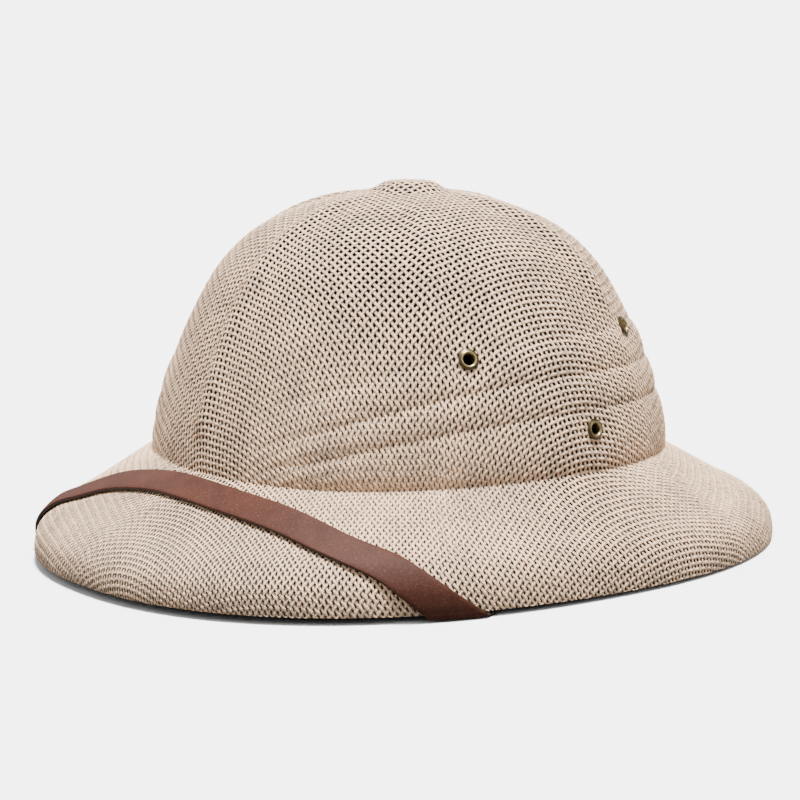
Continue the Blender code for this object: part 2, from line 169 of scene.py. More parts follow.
def curve(rows, place):
    """A smooth curve through the rows, read at any place, and straight on past both ends."""
    last = len(rows) - 1
    if place < 0:
        return [p + (q - p) * place for p, q in zip(rows[0], rows[1])]
    if place > last:
        return [q + (q - p) * (place - last) for p, q in zip(rows[-2], rows[-1])]
    i = min(int(place), last - 1)
    t = place - i
    b, c = rows[i], rows[i + 1]
    a = rows[i - 1] if i > 0 else [2 * p - q for p, q in zip(b, c)]
    d = rows[i + 2] if i + 2 <= last else [2 * q - p for p, q in zip(b, c)]
    return [
        q + t * ((r - p) / 2 + t * (p - 2.5 * q + 2 * r - s / 2 + t * ((s - p) / 2 + 1.5 * (q - r))))
        for p, q, r, s in zip(a, b, c, d)
    ]


def mix(a, b, share):
    return a + (b - a) * share


def ease(x):
    x = min(max(x, 0.0), 1.0)
    return x * x * (3 - 2 * x)


def plan(turn, half_length, half_width):
    forward, side = math.cos(math.radians(turn)), math.sin(math.radians(turn))
    reach = (abs(forward) ** PLAN_POWER + abs(side) ** PLAN_POWER) ** (-1 / PLAN_POWER)
    return half_width * side * reach, -half_length * forward * reach


def rim_height(y):
    return RIM_LEAN * (BRIM_HALF_LENGTH - y)


def join_point(turn):
    x, y = plan(turn, CROWN_HALF_LENGTH, CROWN_HALF_WIDTH)
    dip = JOIN_DIP * math.cos(2 * math.radians(turn))
    return Vector((x, y - CROWN_SET_FORWARD, JOIN_HEIGHT - dip))


def brim_point(turn, place):
    """A point on the brim's outer face. Past the rim, the lip goes on straight down."""
    out, drop = curve(BRIM_FORM, place)
    start = join_point(turn)
    x, y = plan(turn, BRIM_HALF_LENGTH, BRIM_HALF_WIDTH)
    end = Vector((x, y, rim_height(y)))
    way = end - start
    return start + Vector((way.x * out, way.y * out, way.z * drop))


def crown_point(turn, angle):
    """A point on the crown's smooth form, at an angle from the join, 0, to the top, 90."""
    rise = math.sin(math.radians(angle))
    full = curve(CROWN_FORM, max(rise, 0.0) / CROWN_FORM[1][0])[1]
    across = math.cos(math.radians(angle)) * full
    start = join_point(turn)
    x = start.x * across * (1 + SIDE_FULLNESS * rise)
    y = (start.y + CROWN_SET_FORWARD) * across - CROWN_SET_FORWARD
    return Vector((x, y, start.z + (JOIN_HEIGHT + CROWN_HEIGHT - start.z) * rise))


def level_rise(turn, level):
    fan = abs(math.cos(math.radians(turn / 2))) ** PLEAT_FAN
    i = min(int(level), BAND_TOP - 1)
    low, high = (side + (front - side) * fan for side, front in (PLEAT_LINES[i], PLEAT_LINES[i + 1]))
    return low + (high - low) * (level - i)


def level_angle(turn, level):
    if level <= BAND_TOP:
        return math.degrees(math.asin(level_rise(turn, level)))
    start = math.degrees(math.asin(level_rise(turn, BAND_TOP)))
    return start + (90 - start) * (level - BAND_TOP)


def base_point(turn, level):
    return brim_point(turn, -level) if level < 0 else crown_point(turn, level_angle(turn, level))


def facing(point_at, turn, place, step):
    along = point_at(turn + SMALL_TURN, place) - point_at(turn - SMALL_TURN, place)
    up = point_at(turn, place + step) - point_at(turn, place - step)
    return along.cross(up).normalized()


def brim_facing(turn, place):
    return facing(brim_point, turn, place, -SMALL_STEP)


def crown_facing(turn, angle):
    return facing(crown_point, turn, min(angle, STEEPEST), math.degrees(SMALL_STEP))


def base_facing(turn, level):
    if level < 0:
        return brim_facing(turn, -level)
    if level > 0:
        return crown_facing(turn, level_angle(turn, level))
    both = brim_facing(turn, 0) + crown_facing(turn, 0)
    return both * 2 / both.length_squared


def eyelet_seat(turn, share):
    angle = math.degrees(math.asin(share))
    return crown_point(turn, angle), crown_facing(turn, angle)


EYELET_SEATS = {
    f"eyelet_{side}_{name}": eyelet_seat(sign * turn, share)
    for name, turn, share in EYELETS
    for side, sign in (("left", 1), ("right", -1))
}


def relief(turn, level):
    """How far the moulded ridges, pleats and button stand out from the smooth form."""
    if level <= 0:
        return 0.0
    turn = (turn + 180) % 360 - 180
    point = base_point(turn, level)
    from_axis = math.hypot(point.x, point.y + CROWN_SET_FORWARD)
    if level < BAND_TOP:
        part = level % 1
        swell = (4 * part * (1 - part)) ** PLEAT_ROUND
        raised = PLEAT_HEIGHT * swell * ease((abs(turn) - PLEAT_START) / (PLEAT_FULL - PLEAT_START))
        ridge_share = 1 - ease((abs(turn) - PLEAT_START) / PLEAT_START)
        ridge_share *= ease(level - BAND_TOP + 1)
    else:
        raised = 0.0
        ridge_share = 1.0
        if abs(turn) > PLEAT_START:
            ridge_share = ease((level - BAND_TOP) / RIDGE_START)
    gore = 360 / GORES
    off_ridge = abs((turn + gore / 2) % gore - gore / 2)
    away = math.radians(off_ridge) * from_axis / RIDGE_REACH
    ridge = RIDGE_HEIGHT * max(1 - away * away, 0.0) ** 2 * ridge_share
    ridge *= ease((from_axis - BUTTON_FLAT) / RIDGE_FADE)
    button = BUTTON_HEIGHT * ease((BUTTON_RADIUS - from_axis) / (BUTTON_RADIUS - BUTTON_FLAT))
    near = min((point - seat).length for seat, _ in EYELET_SEATS.values())
    return (raised + ridge) * ease((near - EYELET_FLAT) / EYELET_FADE) + button


# Yarns and cloth
YARN_PITCH = 0.0028
YARN_WIDTH = 0.00190
YARN_HEIGHT = 0.0006
YARN_WAVE = 0.00018  # how far a yarn rises and sinks as it goes over and under the others
YARN_WANDER = 0.00012
YARN_UNEVENNESS = 0.16  # how much a yarn's width varies
YARN_SIDES = 5
STRAY_ACROSS = 3.7  # how fast the yarns' straying changes from yarn to yarn
STRAY_ALONG = 0.35  # and from crossing to crossing
WEAVE_SEEDS = (3.0, 43.0)  # for the lengthwise and the crosswise yarns
WEAVE_DEPTH = YARN_WAVE + YARN_HEIGHT / 2  # so that the upper yarns lie flush with the CAD's straw
# How the cloth lies on the hat: (length from the top, turn of the yarns, share of the gather that
# keeps the yarns' pitch, yarns laid out beside an even pitch, drawn out where the yarns run aslant)
CLOTH_LAY = (
    (0.000, 4.44, 0.733, 0.940, 0.103),
    (0.060, -1.55, 0.691, 0.933, 0.096),
    (0.110, 2.18, 0.631, 0.974, 0.108),
    (0.150, 4.92, 0.745, 0.981, 0.139),
    (0.182, 6.82, 0.814, 0.984, 0.167),
    (0.215, 10.60, 0.491, 0.989, 0.148),
    (0.262, 14.04, -0.082, 0.994, 0.141),
)
CLOTH_SMOOTHING = 0.010
WEAVE_CUTS = (0.0, 0.37, 0.63, 1.0)  # where each family of yarns is cut into pieces
EYELET_CLEAR = 0.0032
BRIM_WIDER_GAP_SHADE = (-0.105, -0.140)  # between these lengths the painted gap shade on the front brim is drawn wider
EDGE_SHOW = 0.0004  # how much of the lining's edge shows below the straw
EDGE_SPARE = 0.0015  # the yarns are laid this far past the edge and then trimmed to it

GUIDE_COLUMNS = 240
GUIDE_LEVELS = (
    [-6.4, -6.2]
    + [-6 + k / 8 for k in range(48)]
    + [k / 10 for k in range(30)]
    + [3 + k / 40 for k in range(40)]
)
LINING_COLUMNS = 120
LINING_LEVELS = [-6 + k / 4 for k in range(24)] + [k / 4 for k in range(12)] + [3 + k / 20 for k in range(20)]


def new_mesh(name, points, faces, material=None):
    """An object from points and faces, shaded smooth, with its faces outward."""
    mesh = bpy.data.meshes.new(name)
    mesh.from_pydata([tuple(p) for p in points], [], faces)
    maker = bmesh.new()
    maker.from_mesh(mesh)
    bmesh.ops.recalc_face_normals(maker, faces=maker.faces)
    maker.to_mesh(mesh)
    maker.free()
    mesh.shade_smooth()
    if material:
        mesh.materials.append(material)
    made = bpy.data.objects.new(name, mesh)
    bpy.context.scene.collection.objects.link(made)
    return made


def ring_faces(rows, columns, closed=True):
    """Quads between rows of points, each row running round the hat."""
    faces = []
    for r in range(rows - 1):
        for c in range(columns if closed else columns - 1):
            d = (c + 1) % columns
            faces.append((r * columns + c, r * columns + d, (r + 1) * columns + d, (r + 1) * columns + c))
    return faces


def plain_result(made, name):
    """The object's mesh with its modifiers applied, as a new object. The old one is removed."""
    graph = bpy.context.evaluated_depsgraph_get()
    mesh = bpy.data.meshes.new_from_object(made.evaluated_get(graph), depsgraph=graph)
    mesh.name = name
    bpy.data.objects.remove(made)
    result = bpy.data.objects.new(name, mesh)
    bpy.context.scene.collection.objects.link(result)
    return result


def finish_piece(made, node):
    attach(made, "root")
    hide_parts(node)


# Helpers for geometry and shader nodes


class Tree:
    """Short ways to add nodes to a tree and to link them."""

    def __init__(self, tree):
        self.tree = tree

    def node(self, kind, inputs=None, **settings):
        made = self.tree.nodes.new(kind)
        for key, value in settings.items():
            setattr(made, key, value)
        for key, value in (inputs or {}).items():
            socket = made.inputs[key]
            if isinstance(value, bpy.types.NodeSocket):
                self.tree.links.new(value, socket)
            else:
                socket.default_value = value
        return made

    def first(self, kind, inputs=None, **settings):
        """The first output of a new node."""
        return self.node(kind, inputs, **settings).outputs[0]

    def link(self, output, socket):
        self.tree.links.new(output, socket)

    def math(self, operation, *values):
        return self.first("ShaderNodeMath", dict(enumerate(values)), operation=operation)

    def plus(self, a, b):
        return self.math("ADD", a, b)

    def minus(self, a, b):
        return self.math("SUBTRACT", a, b)

    def times(self, a, b):
        return self.math("MULTIPLY", a, b)

    def vector(self, x=0.0, y=0.0, z=0.0):
        return self.first("ShaderNodeCombineXYZ", {"X": x, "Y": y, "Z": z})

    def parts(self, vector):
        return self.node("ShaderNodeSeparateXYZ", {"Vector": vector}).outputs

    def vectors(self, operation, *values):
        return self.first("ShaderNodeVectorMath", dict(enumerate(values)), operation=operation)

    def scaled(self, vector, scale):
        return self.first("ShaderNodeVectorMath", {0: vector, "Scale": scale}, operation="SCALE")

    def noise(self, vector, detail, scale=1.0):
        return self.node("ShaderNodeTexNoise", {"Vector": vector, "Scale": scale, "Detail": detail}).outputs

    def ranged(self, value, low, high, most=1.0):
        """Where the value lies from low to high, as 0 to most."""
        inputs = {"Value": value, "From Min": low, "From Max": high, "To Max": most}
        return self.first("ShaderNodeMapRange", inputs)

    def blend(self, share, one, other):
        """A colour between two, with a share of the other."""
        return self.node("ShaderNodeMix", {0: share, 6: one, 7: other}, data_type="RGBA").outputs[2]

    def capture(self, geometry, **fields):
        """The geometry with fields kept on its points, each given as (type, value)."""
        kept = self.node("GeometryNodeCaptureAttribute", {"Geometry": geometry}, domain="POINT")
        for label, (kind, value) in fields.items():
            kept.capture_items.new(kind, label)
            self.link(value, kept.inputs[label])
        return kept.outputs


PLAIN_SOCKETS = {bool: "Bool", int: "Int", float: "Float", tuple: "Color"}


def new_tree(name, kind, inputs, outputs):
    """A node group. Each input is given by its default or by its type, and each output by its type."""
    tree = bpy.data.node_groups.new(name, kind)
    for label, value in inputs.items():
        plain = PLAIN_SOCKETS.get(type(value))
        socket_type = f"NodeSocket{plain or value}"
        socket = tree.interface.new_socket(label, in_out="INPUT", socket_type=socket_type)
        if plain:
            socket.default_value = value
    for label, value in outputs.items():
        tree.interface.new_socket(label, in_out="OUTPUT", socket_type=f"NodeSocket{value}")
    return tree, Tree(tree), tree.nodes.new("NodeGroupInput"), tree.nodes.new("NodeGroupOutput")


def set_inputs(modifier, values):
    """Sets a Geometry Nodes modifier's inputs by their names, through the sockets' identifiers."""
    for item in modifier.node_group.interface.items_tree:
        if item.item_type == "SOCKET" and item.in_out == "INPUT" and item.name in values:
            modifier[item.identifier] = values[item.name]


# The woven straw


def wall_point(turn, level, depth):
    return base_point(turn, level) + base_facing(turn, level) * (relief(turn, level) - depth)


def cloth_lay(reach):
    """CLOTH_LAY at a length from the top, with its corners smoothed."""
    read = []
    for at in (reach - CLOTH_SMOOTHING, reach, reach + CLOTH_SMOOTHING):
        i = 0
        while i < len(CLOTH_LAY) - 2 and CLOTH_LAY[i + 1][0] < at:
            i += 1
        low, high = CLOTH_LAY[i], CLOTH_LAY[i + 1]
        share = min(max((at - low[0]) / (high[0] - low[0]), 0.0), 1.0)
        read.append([mix(p, q, share) for p, q in zip(low[1:], high[1:])])
    return [sum(column) / len(read) for column in zip(*read)]


def sheet_place(turn, reach, radius):
    """Where a point of the hat lies on the flat cloth, in yarns.

    reach is its length from the top and radius its distance from the hat's axis. The yarns keep their
    pitch, so the cloth gathers between the four ways of its yarns and is drawn out lengthwise there.
    """
    if not reach:
        return 0.0, 0.0
    twist, share, laid, draw = cloth_lay(reach)
    turn -= twist
    gather = (1 - min(radius / reach, 1.0)) / 4 * share
    bent = math.radians(turn) - gather * math.sin(math.radians(4 * turn))
    out = reach * laid / (1 + draw * math.sin(math.radians(2 * turn)) ** 2) / YARN_PITCH
    return out * math.sin(bent), -out * math.cos(bent)


def new_guide():
    """The surface that the yarns follow, with its place on the flat cloth as an attribute."""
    turns = [360 * k / GUIDE_COLUMNS for k in range(GUIDE_COLUMNS)]
    rows = []
    top = wall_point(0.0, TOP_LEVEL, WEAVE_DEPTH)
    for level in reversed(GUIDE_LEVELS):
        rows.append([wall_point(turn, level, WEAVE_DEPTH) for turn in turns])
    points, places = [top], [(0.0, 0.0, 0.0)]
    reach = [(rows[0][c] - top).length for c in range(GUIDE_COLUMNS)]
    for r, row in enumerate(rows):
        for c, point in enumerate(row):
            if r:
                reach[c] += (point - rows[r - 1][c]).length
            points.append(point)
            radius = math.hypot(point.x, point.y + CROWN_SET_FORWARD)
            places.append((*sheet_place(turns[c], reach[c], radius), 0.0))
    faces = [tuple(1 + k for k in face) for face in ring_faces(len(rows), GUIDE_COLUMNS)]
    faces += [(0, 1 + (c + 1) % GUIDE_COLUMNS, 1 + c) for c in range(GUIDE_COLUMNS)]
    guide = new_mesh("straw_guide", points, faces)
    half = math.ceil(max(max(abs(x), abs(y)) for x, y, _ in places))
    cloth = guide.data.attributes.new("cloth", "FLOAT_VECTOR", "POINT")
    for k, (x, y, _) in enumerate(places):
        cloth.data[k].vector = (x / (2 * half) + 0.5, y / (2 * half) + 0.5, 0.0)
    return guide, half


def weave_tree():
    """Yarns of one family, laid on a flat sheet, moved onto the guide surface and given their thickness."""
    tree, t, given, result = new_tree(
        "Weave yarns",
        "GeometryNodeTree",
        {
            "Geometry": "Geometry",
            "Keep clear of": "Object",
            "Clear distance": 0.003,
            "First yarn": 0,
            "Yarns": 10,
            "Half width in yarns": 80,
            "Crosswise": False,
            "Yarn width": 0.002,
            "Yarn height": 0.0007,
            "Wave": 0.0003,
            "Wander": 0.0001,
            "Edge lean": 0.009,
            "Edge start": 0.18,
            "Edge height": 0.0008,
            "Edge spare": 0.0015,
            "Unevenness": 0.1,
            "Seed": 0.0,
            "Material": "Material",
        },
        {"Geometry": "Geometry"},
    )
    give = given.outputs
    position = t.first("GeometryNodeInputPosition")
    at = t.parts(position)
    # one yarn as a line of points, two for each crossing, copied side by side
    half = give["Half width in yarns"]
    count = t.plus(t.times(half, 4.0), 1.0)
    start = t.vector(y=t.times(half, -1.0))
    line = t.first("GeometryNodeMeshLine", {"Count": count, "Start Location": start, "Offset": (0, 0.5, 0)})
    beside = {"Count": give["Yarns"], "Start Location": t.vector(give["First yarn"]), "Offset": (1, 0, 0)}
    starts = t.first("GeometryNodeMeshLine", beside)
    copies = t.first("GeometryNodeInstanceOnPoints", {"Points": starts, "Instance": line})
    flat = t.first("GeometryNodeRealizeInstances", {"Geometry": copies})
    number = t.capture(flat, Yarn=("FLOAT", at["X"]), Place=("FLOAT", at["Y"]))
    yarn, step = number["Yarn"], number["Place"]
    # over and under: the two families wave against each other
    beat = t.math("COSINE", t.times(t.plus(yarn, step), math.pi))
    ways = {"Switch": give["Crosswise"], "False": 1.0, "True": -1.0}
    way = t.first("GeometryNodeSwitch", ways, input_type="FLOAT")
    lift = t.times(t.times(beat, give["Wave"]), way)
    ways = {"Switch": give["Crosswise"], "False": t.vector(yarn, step), "True": t.vector(step, yarn)}
    chosen = t.first("GeometryNodeSwitch", ways, input_type="VECTOR")
    on_cloth = t.vectors("ADD", t.scaled(chosen, t.math("DIVIDE", 0.5, half)), (0.5, 0.5, 0.0))
    # onto the hat
    cloth = t.first("GeometryNodeInputNamedAttribute", {"Name": "cloth"}, data_type="FLOAT_VECTOR")
    here, normal = (
        t.node(
            "GeometryNodeSampleUVSurface",
            {"Mesh": give["Geometry"], "Value": field, "UV Map": cloth, "Sample UV": on_cloth},
            data_type="FLOAT_VECTOR",
        ).outputs
        for field in (position, t.first("GeometryNodeInputNormal"))
    )
    up = t.vectors("NORMALIZE", normal["Value"])
    stray = t.vector(t.times(yarn, STRAY_ACROSS), t.times(step, STRAY_ALONG), give["Seed"])
    noise = t.noise(stray, 2.0)
    centred = t.vectors("SUBTRACT", noise["Color"], (0.5, 0.5, 0.5))
    aside = t.scaled(centred, t.times(give["Wander"], 4.0))
    spot = t.vectors("ADD", t.vectors("ADD", here["Value"], t.scaled(up, lift)), aside)
    uneven = t.times(t.minus(noise["Fac"], 0.5), t.times(give["Unevenness"], 4.0))
    kept = t.capture(
        number[0],
        Valid=("BOOLEAN", here["Is Valid"]),
        Up=("VECTOR", up),
        Size=("FLOAT", t.plus(1.0, uneven)),
    )
    laid = t.first("GeometryNodeSetPosition", {"Geometry": kept[0], "Position": spot})
    edge = t.times(t.minus(give["Edge start"], at["Y"]), give["Edge lean"])
    edge = t.plus(edge, give["Edge height"])
    spare = t.minus(edge, give["Edge spare"])
    below = t.first("FunctionNodeCompare", {0: at["Z"], 1: spare}, operation="LESS_THAN")
    unseen = t.first("FunctionNodeBooleanMath", {0: kept["Valid"]}, operation="NOT")
    off = t.first("FunctionNodeBooleanMath", {0: unseen, 1: below}, operation="OR")
    cut_off = t.first("GeometryNodeDeleteGeometry", {"Geometry": laid, "Selection": off}, domain="POINT")
    holes = t.node("GeometryNodeObjectInfo", {"Object": give["Keep clear of"]}, transform_space="ORIGINAL")
    near = t.node("GeometryNodeProximity", {"Geometry": holes.outputs["Geometry"]}, target_element="POINTS")
    sides = {0: near.outputs["Distance"], 1: give["Clear distance"]}
    inside = t.first("FunctionNodeCompare", sides, operation="LESS_THAN")
    holed = t.first("GeometryNodeDeleteGeometry", {"Geometry": cut_off, "Selection": inside}, domain="POINT")
    # thickness
    yarns = t.first("GeometryNodeMeshToCurve", {"Mesh": holed})
    upright = t.first("GeometryNodeSetCurveNormal", {"Curve": yarns, "Normal": kept["Up"]}, mode="FREE")
    ring = t.first("GeometryNodeCurvePrimitiveCircle", {"Resolution": YARN_SIDES, "Radius": 0.5})
    angle = t.times(t.node("GeometryNodeSplineParameter").outputs["Factor"], 2 * math.pi)
    around = t.capture(ring, Top=("FLOAT", t.math("COSINE", angle)), Side=("FLOAT", t.math("SINE", angle)))
    flatness = t.vector(give["Yarn height"], give["Yarn width"], 1.0)
    section = t.first("GeometryNodeTransform", {"Geometry": around[0], "Scale": flatness})
    run = {"Curve": upright, "Profile Curve": section, "Scale": kept["Size"], "Fill Caps": True}
    body = t.first("GeometryNodeCurveToMesh", run)
    trimmed = t.vector(at["X"], at["Y"], t.math("MAXIMUM", at["Z"], edge))
    stored = t.first("GeometryNodeSetPosition", {"Geometry": body, "Position": trimmed})
    fields = {
        "yarn": yarn,
        "place": step,
        "over": t.times(beat, way),
        "top": around["Top"],
        "side": around["Side"],
    }
    for label, value in fields.items():
        inputs = {"Geometry": stored, "Name": label, "Value": value}
        stored = t.first("GeometryNodeStoreNamedAttribute", inputs, data_type="FLOAT", domain="POINT")
    smooth = t.first("GeometryNodeSetShadeSmooth", {"Geometry": stored})
    real = t.first("GeometryNodeRealizeInstances", {"Geometry": smooth})
    painted = t.first("GeometryNodeSetMaterial", {"Geometry": real, "Material": give["Material"]})
    t.link(painted, result.inputs[0])
    return tree


def new_weave(guide, half, holes, material, settings):
    """The woven straw as pieces: both families of yarns, each in runs of neighbouring yarns."""
    tree = weave_tree()
    made = []
    for crosswise in (False, True):
        for run, (low, high) in enumerate(zip(WEAVE_CUTS, WEAVE_CUTS[1:])):
            first = math.floor(mix(-half, half + 1, low))
            last = math.floor(mix(-half, half + 1, high))
            carrier = guide.copy()
            bpy.context.scene.collection.objects.link(carrier)
            modifier = carrier.modifiers.new("yarns", "NODES")
            modifier.node_group = tree
            set_inputs(
                modifier,
                {
                    "Keep clear of": holes,
                    "Clear distance": EYELET_CLEAR,
                    "First yarn": first,
                    "Yarns": last - first,
                    "Half width in yarns": half,
                    "Crosswise": crosswise,
                    "Yarn width": settings.yarn_width,
                    "Yarn height": settings.yarn_height,
                    "Wave": settings.yarn_wave,
                    "Wander": settings.yarn_wander,
                    "Edge lean": RIM_LEAN,
                    "Edge start": BRIM_HALF_LENGTH,
                    "Edge height": EDGE_SHOW,
                    "Edge spare": EDGE_SPARE,
                    "Unevenness": settings.yarn_unevenness,
                    "Seed": WEAVE_SEEDS[crosswise],
                    "Material": material,
                },
            )
            made.append(plain_result(carrier, f"straw_{'weft' if crosswise else 'warp'}_{run + 1}"))
    return made


# The leather strap


def locate(point, turn, place):
    """The turn and place of the brim's point nearest to a given one, from a guess close by."""
    for _ in range(8):
        here = brim_point(turn, place)
        by_turn = (brim_point(turn + SMALL_TURN, place) - here) / SMALL_TURN
        by_place = (brim_point(turn, place + SMALL_STEP) - here) / SMALL_STEP
        miss = point - here
        a, b, c = by_turn.dot(by_turn), by_turn.dot(by_place), by_place.dot(by_place)
        u, v = miss.dot(by_turn), miss.dot(by_place)
        turn += (c * u - b * v) / (a * c - b * b)
        place += (a * v - b * u) / (a * c - b * b)
    return turn, place


STRAP_STATIONS = 120
STRAP_CUTS = 8
STRAP_BUNCH = 0.35
FACET_SAG = 0.0006
ROUTE_STEP = 0.05
ROUTE_PARTS = 8
ROUTE_SPARE = 3
SEAT_ROUNDS = 12

# How the strap goes round the rim: (depth of the corner inside the straw's face, facing)
RIM_CORNERS = (
    (0.0, 0.0),
    (0.0, 40.0),
    (LINING_DEPTH, 70.0),
    (STACK + FACET_SAG, 90.0),
    (STACK + FACET_SAG, 135.0),
    (STACK + FACET_SAG, 175.0),
)


def rim_crossing(above, past):
    """Where a line between two (turn, place) pairs meets the rim."""
    share = (RIM_PLACE - above[1]) / (past[1] - above[1])
    return mix(above[0], past[0], share), float(RIM_PLACE)


def strap_edge(side):
    """One edge of the strap over the brim, as (turn, place), from rim to rim. side is 1 or -1."""
    last = len(STRAP_ROUTE) - 1
    found = []
    for k in range(-ROUTE_SPARE * ROUTE_PARTS, (last + ROUTE_SPARE) * ROUTE_PARTS + 1):
        turn, place = curve(STRAP_ROUTE, k / ROUTE_PARTS)
        middle = brim_point(turn, place)
        ahead = brim_point(*curve(STRAP_ROUTE, k / ROUTE_PARTS + ROUTE_STEP)) - middle
        across = ahead.cross(brim_facing(turn, place)).normalized()
        found.append(locate(middle + across * side * STRAP_WIDTH / 2, turn, place))
    inside = [k for k, (_, place) in enumerate(found) if place < RIM_PLACE]
    first, final = inside[0], inside[-1]
    start = rim_crossing(found[first], found[first - 1])
    end = rim_crossing(found[final], found[final + 1])
    return [start] + found[first : final + 1] + [end]


def spread(places, count):
    """The same run of (turn, place), read at count + 1 distances that bunch up at both ends."""
    points = [brim_point(*at) for at in places]
    reached = [0.0]
    for p, q in zip(points, points[1:]):
        reached.append(reached[-1] + (q - p).length)
    result = []
    k = 0
    for step in range(count + 1):
        bunched = (1 - math.cos(math.pi * step / count)) / 2
        want = reached[-1] * mix(step / count, bunched, STRAP_BUNCH)
        while k < len(places) - 2 and reached[k + 1] < want:
            k += 1
        share = (want - reached[k]) / (reached[k + 1] - reached[k])
        result.append(tuple(p + (q - p) * share for p, q in zip(places[k], places[k + 1])))
    return result


def rim_section(turns, corner, shift):
    """The strap's (point, facing) pairs across its width where it passes a corner of the rim."""
    depth, angle = corner
    section = []
    for k in range(STRAP_CUTS + 1):
        turn = mix(turns[0], turns[1], k / STRAP_CUTS) + shift
        outward = brim_facing(turn, RIM_PLACE)
        edge = brim_point(turn, RIM_PLACE) - outward * depth
        edge.z = rim_height(edge.y)
        face = outward * math.cos(math.radians(angle)) - Vector((0, 0, math.sin(math.radians(angle))))
        section.append((edge + face * STRAP_CLEAR, face))
    return section


def strap_tail(section, way):
    """The hidden end of the strap, straight from inside the rim to its stud under the brim."""
    start, facing_in = section[STRAP_CUTS // 2]
    across = section[0][0] - section[-1][0]
    along = Vector((across.x, across.y, 0)).normalized()
    inward = Vector((facing_in.x, facing_in.y, 0)).normalized()
    end = start + (along * math.cos(way) + inward * math.sin(way)) * STRAP_TAIL
    turn, place = math.degrees(math.atan2(start.x, -start.y)), STRAP_TAIL_PLACE
    for _ in range(SEAT_ROUNDS):
        end.z = brim_point(turn, place).z
        turn, place = locate(end, turn, place)
        face = -brim_facing(turn, place)
        seat = brim_point(turn, place) + face * (STACK + STRAP_TAIL_CLEAR)
        end = start + (seat - start).normalized() * STRAP_TAIL
    line = (end - start).normalized()
    face = (face - line * face.dot(line)).normalized()
    side = line.cross(face)
    side *= math.copysign(1, side.dot(across))
    ends = [end + side * STRAP_WIDTH * (0.5 - k / STRAP_CUTS) for k in range(STRAP_CUTS + 1)]
    sections = []
    for share, turned_by in TAIL_ROWS:
        row = []
        for (point, normal), target in zip(section, ends):
            row.append((mix(point, target, share), mix(normal, face, turned_by).normalized()))
        sections.append(row)
    return sections, end - line * STUD_INSET, face


def rim_wrap(turns, gone):
    """The strap's sections round the rim, for a strap that runs on the way it has gone."""
    along = brim_point(turns[0] + 1, RIM_PLACE) - brim_point(turns[0], RIM_PLACE)
    share = gone.normalized().dot(along.normalized())
    way = math.acos(abs(share))
    wraps = []
    girth = 0.0
    for corner, before in zip(RIM_CORNERS[1:], RIM_CORNERS):
        girth += corner[0] - before[0] + STRAP_CLEAR
        shift = math.copysign(girth / math.tan(way) / along.length, share)
        wraps.append(rim_section(turns, corner, shift))
    return wraps, way


def strap_sections():
    """All sections of the strap from stud to stud, and each stud's place and facing."""
    upper = spread(strap_edge(-1), STRAP_STATIONS)
    lower = spread(strap_edge(1), STRAP_STATIONS)
    over = []
    for first, other in zip(upper, lower):
        section = []
        for k in range(STRAP_CUTS + 1):
            turn, place = (mix(p, q, k / STRAP_CUTS) for p, q in zip(first, other))
            face = brim_facing(turn, place)
            section.append((brim_point(turn, place) + face * STRAP_CLEAR, face))
        over.append(section)
    ends, studs = [], []
    for i, before in ((0, 1), (STRAP_STATIONS, STRAP_STATIONS - 1)):
        gone = brim_point(*upper[i]) - brim_point(*upper[before])
        wraps, way = rim_wrap((upper[i][0], lower[i][0]), gone)
        tail, stud, face = strap_tail(wraps[-1], way)
        ends.append(wraps + tail)
        studs.append((stud, face))
    return ends[0][::-1] + over + ends[1], studs


STRAP_ROUNDING = 0.0005  # radius of the strap's long edges
STRAP_SWELL = 0.00015  # how much fuller the leather is along its middle
STRAP_BEVEL = 0.3  # where the corners of the rounding lie, as a share of its radius
STRAP_SHARP = 50  # edges over this angle in degrees stay sharp
EDGE_PAINT = 0.4  # the black edge starts this share of the rounding past the face


def new_strap(sections, material):
    """The strap with rounded edges. Its UV map holds lengths: along it, and round its section."""
    rows, places, run = [], [], 0.0
    for number, section in enumerate(sections):
        middle = section[STRAP_CUTS // 2][0]
        if number:
            run += (middle - sections[number - 1][STRAP_CUTS // 2][0]).length
        first, last = section[0][0], section[-1][0]
        side = (last - first).normalized()
        r, thick = STRAP_ROUNDING, STRAP_THICK
        row, place = [], []
        for k, (point, face) in enumerate(section):
            inward = side if k == 0 else -side if k == STRAP_CUTS else Vector()
            swell = STRAP_SWELL * (1 - (2 * k / STRAP_CUTS - 1) ** 2)
            row.append(point + face * (thick + swell) + inward * r)
            place.append(k / STRAP_CUTS * STRAP_WIDTH)
        end_face, start_face = section[-1][1], section[0][1]
        edge_rows = (
            (STRAP_BEVEL, STRAP_BEVEL),
            (0.0, 1.0),
            (0.0, (thick - r) / r),
            (STRAP_BEVEL, (thick - STRAP_BEVEL * r) / r),
            (1.0, thick / r),
        )
        for inset, down in edge_rows:
            row.append(last - side * r * inset + end_face * (thick - r * down))
            place.append(STRAP_WIDTH + r * down)
        for inset, down in reversed(edge_rows):
            row.append(first + side * r * inset + start_face * (thick - r * down))
            place.append(-r * down)
        rows.append(row)
        places.append([(run, v) for v in place])
    count = len(rows[0])
    points = [p for row in rows for p in row]
    faces = ring_faces(len(rows), count)
    faces.append(tuple(range(count)))
    faces.append(tuple(range(len(points) - count, len(points))))
    made = new_mesh("leather_strap", points, faces, material)
    flat = [v for row in places for v in row]
    layer = made.data.uv_layers.new(name="strap")
    for loop in made.data.loops:
        layer.data[loop.index].uv = flat[loop.vertex_index]
    made.data.set_sharp_from_angle(angle=math.radians(STRAP_SHARP))
    return made


# The eyelets, the studs and the lining


TURNED_SIDES = 48
METAL_SHARP = 35  # edges over this angle in degrees stay sharp
LINING_SHARP = 40


